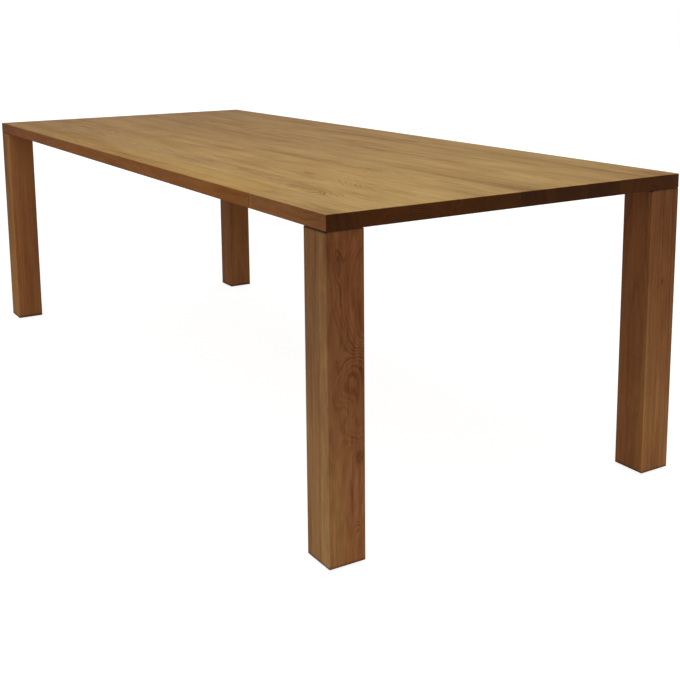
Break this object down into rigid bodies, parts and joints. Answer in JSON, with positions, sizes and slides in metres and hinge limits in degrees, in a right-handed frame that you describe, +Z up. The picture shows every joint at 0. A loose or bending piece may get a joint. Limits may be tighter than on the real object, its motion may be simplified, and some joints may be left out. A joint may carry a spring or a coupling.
{
  "type": "parsons dining table",
  "caption": "Long rectangular oak dining table with an edge-glued stave top and square laminated corner legs flush with the top's edges.",
  "frame": {"origin": "on the floor, under the middle of the top", "axes": "+X along the table's length, +Y across its width towards the back, +Z up"},
  "size_m": [2.4, 1, 0.755],
  "materials": {
    "oak_top": "satin oil",
    "oak_legs": "satin oil",
    "black_steel": "black powder coat",
    "zinc_steel": "zinc plated",
    "insert_brass": "machined",
    "nylon": "moulded"
  },
  "bodies": {
    "root": {"top_stave_1_long": "oak_top", "top_stave_1_short": "oak_top", "top_stave_2": "oak_top", "top_stave_3": "oak_top", "top_stave_4": "oak_top", "top_stave_5": "oak_top", "top_stave_6": "oak_top", "top_stave_7": "oak_top", "top_stave_8": "oak_top", "top_stave_9": "oak_top", "top_stave_10": "oak_top", "leg_front_left_lamella_1": "oak_legs", "leg_front_left_lamella_2": "oak_legs", "leg_front_left_lamella_3": "oak_legs", "leg_front_right_lamella_1": "oak_legs", "leg_front_right_lamella_2": "oak_legs", "leg_front_right_lamella_3": "oak_legs", "leg_back_right_lamella_1": "oak_legs", "leg_back_right_lamella_2": "oak_legs", "leg_back_right_lamella_3": "oak_legs", "leg_back_left_lamella_1": "oak_legs", "leg_back_left_lamella_2": "oak_legs", "leg_back_left_lamella_3": "oak_legs", "leg_plate_front_left": "black_steel", "leg_plate_front_right": "black_steel", "leg_plate_back_right": "black_steel", "leg_plate_back_left": "black_steel", "channel_left": "black_steel", "channel_middle": "black_steel", "channel_right": "black_steel", "glide_front_left": "nylon", "glide_front_right": "nylon", "glide_back_right": "nylon", "glide_back_left": "nylon", "leg_screws": "zinc_steel", "plate_bolts": "zinc_steel", "plate_washers": "zinc_steel", "channel_bolts": "zinc_steel", "channel_washers": "zinc_steel", "glide_screws": "zinc_steel", "plate_inserts": "insert_brass", "channel_inserts": "insert_brass"}
  },
  "joints": []
}
